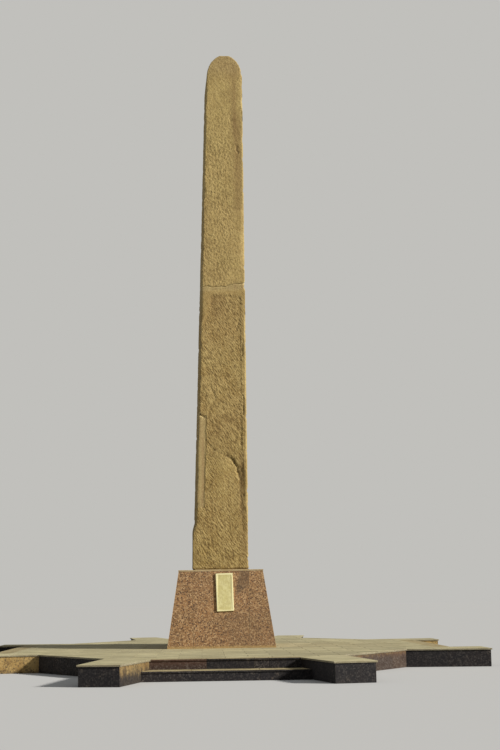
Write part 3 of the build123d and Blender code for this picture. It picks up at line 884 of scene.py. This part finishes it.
def front_wear(half, x, z, mortar):
    """Depth that only the front has: marks, and slopes into the sunk field, in metres."""
    depth = mark_depth(x, z, half) + ledge_slope(x, z, half)
    # The repair dies away into the sunk field, and so does the margin on the right
    if mortar > 0.4:
        depth += REPAIR_SLOPE * area(x + half, z, *REPAIR_AREA)
    inner = (x - half + RIGHT_MARGIN) / MARGIN_REACH
    if 0 < inner < 1:
        depth += MARGIN_SLOPE * (1 - inner) * band(z, *MARGIN_HEIGHTS)
    return depth


def front_stain(across, x, y, z):
    """Stain and painted shade on the front. Near the head the stain is broken into streaks."""
    streak = 0.5 + 0.5 * lumps((x, y, z), (0.07, 0.3, 1.6))
    stain_and_shade = 0.7 * streak * area(across, z, *HEAD_STAIN)
    for share, *sides in STAINS_AND_SHADE:
        stain_and_shade += share * area(across, z, *sides)
    return stain_and_shade


def granite_relief(point, mortar=0.0):
    """Depth, roughness, stain with painted shade, and mortar share of the shaft at a point."""
    across, half, x, y, z = on_shaft(point)
    rough = rough_share(across, half, x, y, z) * (1 - mortar)
    wave = 0.5 + 0.5 * lumps((x, y, z), (0.5, 0.5, 0.9))
    peck = 0.5 + 0.5 * noise.noise(point / 0.055)
    depth = WAVE * wave + (PECK + ROUGH_PECK * rough) * peck
    if z < BREAK_HEIGHT:
        depth += STROKE * rough * max(strokes(x, y, z) - 0.35, 0)
    # Corners: the nearer to an arris, the more is gone
    to_arris = half - abs(x)
    if abs(y) > NARROW_FACE - 0.09 and to_arris < BITE_REACH:
        bite = max(noise.noise(Vector((across * 3, y, z / 0.16))) - 0.15, 0)
        depth += BITE * bite * (1 - max(to_arris, 0) / BITE_REACH)
    stain_and_shade = 0.0
    if y < 0:
        depth += front_wear(half, x, z, mortar)
        stain_and_shade = front_stain(across, x, y, z)
    # At the very foot the block sits tight on its bed
    return depth * band(z, *ABOVE_BED), rough, stain_and_shade, mortar


print(len(STAINS_AND_SHADE), "stains")

# %% [markdown]
# The lower block and its mortar share one skin, so that no seam shows. A point belongs to the
# mortar when that is nearer to it than the stone. The upper block has a skin of its own.

# %% Weather both blocks
MENDED = ("shaft_lower_block", "shaft_break_mortar", "shaft_edge_repair")
MORTAR_BLEND = 0.04  # how softly mortar turns into stone, in metres


def tree_of(*solids):
    """A search tree for the nearest point on some solids."""
    shape = merged_copy(*solids)
    found = BVHTree.FromBMesh(shape)
    shape.free()
    return found


stone_tree, mortar_tree = tree_of(MENDED[0]), tree_of(*MENDED[1:])


def lower_relief(point):
    """The relief of the lower block with its mortar."""
    to_stone = stone_tree.find_nearest(point)[3]
    to_mortar = mortar_tree.find_nearest(point)[3]
    wobble = 0.012 * noise.noise(point / 0.12)
    mortar = min(max(0.5 + (to_stone - to_mortar + wobble) / MORTAR_BLEND, 0), 1)
    return granite_relief(point, mortar)


weathered("mended_lower_block", MENDED, 0.028, lower_relief)
weathered("weathered_upper_block", ("shaft_upper_block",), 0.026, granite_relief)

# %% [markdown]
# ## Slabs with open joints
# Paving, copings, walls and steps are built of slabs. Each CAD solid is cut along the joints:
# two cuts a few millimetres apart mark a strip, which is pushed in to make a groove.
# Every slab then gets a shade of its own, from a random number that its place decides.

# %% Cut the joints
JOINT = 0.008
COURSE = 0.6
SLAB_LENGTH = 0.9
NO_SLIVER = 0.05  # no joint lies nearer than this to the end of the paving
PAVING_GROOVE, WALL_GROOVE, SLAB_ARRIS = 0.006, 0.005, 0.003


def faces_of(shape, course=None):
    """All faces of a shape, or those in one course of paving."""
    if course is None:
        return list(shape.faces)
    return [
        face for face in shape.faces
        if 0 < face.calc_center_median().y - course * COURSE < COURSE
    ]


def joint_cuts(shape, spots, way, course=None):
    """Cuts both sides of each joint. The joints cross the way at the spots."""
    for spot in spots:
        for side in (-JOINT / 2, JOINT / 2):
            chosen = faces_of(shape, course)
            geometry = set(chosen)
            for face in chosen:
                geometry.update(face.edges)
                geometry.update(face.verts)
            bmesh.ops.bisect_plane(
                shape, geom=list(geometry), dist=0.00005, plane_co=way * (spot + side), plane_no=way
            )


def sink(shape, strips, depth):
    """Pushes strips of faces in, to make grooves."""
    bmesh.ops.inset_region(
        shape, faces=strips, thickness=0.0, depth=-depth, use_boundary=True, use_even_offset=True
    )


def clear_of(low, high, spots):
    """Joints that leave no sliver at either end."""
    return [spot for spot in spots if low + NO_SLIVER < spot < high - NO_SLIVER]


def inside_joint(value, spots):
    """Whether a place lies in one of the joints."""
    return any(abs(value - spot) < JOINT * 0.51 for spot in spots)


def shade_of(*numbers):
    """A number from 0 to 1 that a slab's place decides."""
    return random.Random("slab " + " ".join(str(number) for number in numbers)).random()


print("joints can be cut")

# %% [markdown]
# ### Paving
# The slabs lie in courses from left to right. The cross joints of one course are staggered
# against the next, so each course is cut on its own.

# %% Paving
def paved(name, solid):
    """A sheet of paving, cut into staggered slabs."""
    shape = merged_copy(solid)
    low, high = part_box(solid)
    courses = range(int(low.y // COURSE), int(high.y // COURSE) + 2)
    rows = clear_of(low.y, high.y, [course * COURSE for course in courses])
    joint_cuts(shape, rows, NORTH)
    tone = shape.faces.layers.float.new("tone")
    level = shape.faces.layers.float.new("level")
    for face in shape.faces:
        face[level] = 0.8 * (face.normal.z > 0.9)
    strips = []
    for course in courses:
        shift = SLAB_LENGTH / 2 if course % 2 else 0.0
        start = int((low.x - shift) // SLAB_LENGTH)
        stop = int((high.x - shift) // SLAB_LENGTH) + 2
        columns = [number * SLAB_LENGTH + shift for number in range(start, stop)]
        columns = clear_of(low.x, high.x, columns)
        joint_cuts(shape, columns, EAST, course)
        for face in faces_of(shape, course):
            middle = face.calc_center_median()
            face[tone] = shade_of(course, int((middle.x - shift) // SLAB_LENGTH))
            if face.normal.z > 0.9 and inside_joint(middle.x, columns):
                strips.append(face)
    strips += [
        face for face in shape.faces
        if face.normal.z > 0.9 and face not in strips
        and inside_joint(face.calc_center_median().y, rows)
    ]
    sink(shape, strips, PAVING_GROOVE)
    round_arrises(finished(name, shape, (solid,), False), SLAB_ARRIS)


for side in ("front", "back", "left", "right"):
    paved(side + "_slabs", side + "_paving")

# %% [markdown]
# ### Walls, copings and steps
# A wall's joints stand upright, across the way the wall runs. The flank walls run slantwise and
# the cheek walls are splayed, so each wall gives the way its joints are measured along.

# %% Walls, copings and steps
def jointed(name, solid, way, joints, shades, painted_sun_and_tread_way=None, painted_sun_and_tread_share=1.0):
    """A solid cut across the way it runs, at given joints or into slabs of about one length.

    Shades are one for each slab, or a range from which chance picks. A low shade is reddish and
    a high one dark. Faces that look along painted_sun_and_tread_way get that value by its share:
    painted sunlight in ochre on a wall, a paler tone on a tread.
    """
    shape = merged_copy(solid)
    if not isinstance(joints, tuple):
        along = [vert.co.dot(way) for vert in shape.verts]
        first, last = min(along), max(along)
        count = max(round((last - first) / joints), 1)
        joints = [first + (last - first) * number / count for number in range(1, count)]
    joint_cuts(shape, joints, way)
    tone, painted_sun_and_tread, level = (
        shape.faces.layers.float.new(label) for label in ("tone", "painted_sun_and_tread", "level")
    )
    strips = []
    for face in shape.faces:
        middle = face.calc_center_median().dot(way)
        number = sum(middle > spot for spot in joints)
        chance = shades[0] + (shades[1] - shades[0]) * shade_of(name, number)
        face[tone] = shades[number] if len(shades) > 2 else chance
        face[level] = 0.5 * (face.normal.z > 0.9)
        if painted_sun_and_tread_way is not None and face.normal.dot(painted_sun_and_tread_way) > 0.9:
            face[painted_sun_and_tread] = painted_sun_and_tread_share
        shown = abs(face.normal.dot(way)) < 0.7 and face.normal.z > -0.5
        if shown and inside_joint(middle, joints):
            strips.append(face)
    sink(shape, strips, WALL_GROOVE)
    round_arrises(finished(name, shape, (solid,), False), SLAB_ARRIS)


print("walls can be cut")

# %% [markdown]
# Each of the terrace's four corners has the same walls and copings, mirrored. The slabs of the
# walls differ little, and the copings more; the dark of the cheeks and wings is partly painted
# shade. Where the sun reaches a wall, it gets painted sunlight in ochre: on the inner sides of the
# left cheeks, on two of the wings, and a little on the right flanks, which are reddish too.

# %% Corners of the terrace
CHEEK_SPLAY = 12  # degrees
FLANK_RUN = 60.3  # degrees between a flank wall and the front


def level_way(degrees, to_side, to_back):
    """A level direction, in degrees from +X, mirrored to its corner."""
    turn = radians(degrees)
    return Vector((cos(turn) * to_side, sin(turn) * to_back, 0))


for end, to_back in (("front", -1), ("back", 1)):
    for hand, to_side in (("left", -1), ("right", 1)):
        corner = f"{end}_{hand}_"
        cheek_way = level_way(90 - CHEEK_SPLAY, to_side, to_back)
        flank_way = level_way(FLANK_RUN, to_side, -to_back)
        wing_way = EAST * to_side
        left = hand == "left"
        inner_way = EAST if left else None
        front_way = -NORTH if corner in ("front_left_", "back_right_") else None
        sunny_way = None if left else level_way(90 - FLANK_RUN, to_side, to_back)
        # Piece, solid, way it runs, slab length, shades, painted sun way and its share
        for part, solid, *cut in (
            ("cheek_slabs", "cheek_wall", cheek_way, 1.1, (0.9, 1.0), inner_way, 0.6),
            ("cheek_coping_slabs", "cheek_coping", cheek_way, 0.75, (0.0, 0.4)),
            ("wing_slabs", "wing_wall", wing_way, 0.95, (0.8, 1.0), front_way),
            ("wing_coping_slabs", "wing_coping", wing_way, 0.65, (0.0, 0.5)),
            ("flank_slabs", "flank_wall", flank_way, 0.8, (0.35, 1.0) if left else (0.0, 0.28),
             sunny_way, 0.35),
        ):
            jointed(corner + part, corner + solid, *cut)

# %% [markdown]
# The front steps are cut where the photograph shows their joints. The back ones repeat them,
# and the side steps get even joints. Feet and dust have made the treads as pale as the paving.

# %% Steps
UPPER_JOINTS, UPPER_SHADES = (-0.36, 0.54, 0.81), (0.0, 1.0, 0.4, 0.9)
LOWER_JOINTS, LOWER_SHADES = (-0.65, 0.62), (0.7, 0.85, 1.0)
SIDE_SHADES = (0.35, 1.0)
for sides, way, *steps in (
    (("front", "back"), EAST, (UPPER_JOINTS, UPPER_SHADES, 0.8), (LOWER_JOINTS, LOWER_SHADES, 0.9)),
    (("left", "right"), NORTH, (1.0, SIDE_SHADES, 0.9), (1.2, SIDE_SHADES, 0.9)),
):
    for side in sides:
        for step, (joints, shades, share) in zip(("_upper_", "_lower_"), steps):
            jointed(side + step + "slabs", side + step + "step", way, joints, shades, UP, share)

# %% [markdown]
# ## Pedestal
# The slabs, the cap and the plaque keep their CAD shapes, which are right. Live bevels round
# their arrises.

# %% Pedestal
for name, width in (("pedestal_cap", 0.008), ("front_plaque", 0.0025), ("shaft_bed", 0.008)):
    round_arrises(frame["nodes"][name], width)
for side in ("front", "back", "left", "right"):
    round_arrises(frame["nodes"][f"pedestal_{side}_cladding"], 0.004)
print("pedestal rounded")

# %% [markdown]
# ## Stage
# A plain pale floor takes the shadow. It is so wide a disc that its far edge melts into the
# background, which has nearly the same colour.

# %% Floor
FLOOR_RADIUS, FLOOR_DROP = 400, 0.002
floor_shape = bmesh.new()
bmesh.ops.create_circle(floor_shape, cap_ends=True, radius=FLOOR_RADIUS, segments=96)
bmesh.ops.translate(floor_shape, verts=floor_shape.verts, vec=(0, 0, -FLOOR_DROP))
floor_mesh = bpy.data.meshes.new("floor")
floor_shape.to_mesh(floor_mesh)
floor_shape.free()
floor = bpy.data.objects.new("floor", floor_mesh)
scene.collection.objects.link(floor)
material = bpy.data.materials.new("pale floor")
material.use_nodes = True
shader = material.node_tree.nodes["Principled BSDF"]
shader.inputs["Base Color"].default_value = (0.62, 0.62, 0.61, 1)
shader.inputs["Roughness"].default_value = 1.0
shader.inputs["Specular IOR Level"].default_value = 0.0
floor_mesh.materials.append(material)
print("floor of", FLOOR_RADIUS, "m radius")

# %% [markdown]
# The camera sees a pale background, and the object gets a weaker, slightly blue light from it,
# as from the sky. Light Path's Is Camera Ray tells the two apart.

# %% Background
world = bpy.data.worlds.new("studio")
scene.world = world
world.use_nodes = True
tree = world.node_tree
tree.nodes.clear()
seen = node(tree, "Background", Color=(0.533, 0.527, 0.503, 1), Strength=1.0)
light = node(tree, "Background", Color=(0.96, 0.98, 1, 1), Strength=0.24)
rays = node(tree, "LightPath")
choice = node(tree, "MixShader", Fac=rays.outputs["Is Camera Ray"])
feed(tree, light.outputs[0], choice.inputs[1])
feed(tree, seen.outputs[0], choice.inputs[2])
node(tree, "OutputWorld", Surface=choice.outputs[0])
print("background set")

# %% [markdown]
# ## Light
# The photograph has its light to the right and a little in front, and the sky fills the shade. A
# sun lamp with a wide disc is equally strong everywhere, which suits a thing so tall.

# %% Lamp
TO_LAMP = Vector((0.8, -0.41, 0.41))
lamp_data = bpy.data.lights.new("key", "SUN")
lamp_data.energy = 4.8
lamp_data.angle = radians(6)
lamp_data.color = (1.0, 0.97, 0.92)
lamp = bpy.data.objects.new("key", lamp_data)
scene.collection.objects.link(lamp)
lamp.rotation_euler = TO_LAMP.to_track_quat("Z", "Y").to_euler()
print("lamp from", tuple(TO_LAMP))

# %% [markdown]
# ## Camera
# The camera stands where the photograph was taken from, 35.6 m in front of the pedestal's
# middle, at eye height. It looks up to take in the head, and is held a little askew.

# %% Camera
CAMERA_PLACE = Vector((-0.42, -35.57, 1.46))
YAW, PITCH, ROLL = 0.034, radians(8.75), 0.0145  # in radians
FOCAL_LENGTH, PICTURE_HEIGHT = 1462, 750  # in the photograph's pixels
SENSOR = 36  # in millimetres
camera_data = bpy.data.cameras.new("camera")
camera_data.sensor_width = SENSOR
camera_data.lens = SENSOR * FOCAL_LENGTH / PICTURE_HEIGHT
camera_data.clip_end = 2000
camera = bpy.data.objects.new("camera", camera_data)
scene.collection.objects.link(camera)
turned = (
    Matrix.Rotation(-YAW, 4, "Z") @ Matrix.Rotation(pi / 2 + PITCH, 4, "X")
    @ Matrix.Rotation(-ROLL, 4, "Z")
)
camera.matrix_world = Matrix.Translation(CAMERA_PLACE) @ turned
scene.camera = camera
scene.view_settings.view_transform = "Standard"
print("lens", round(camera_data.lens, 1), "mm")
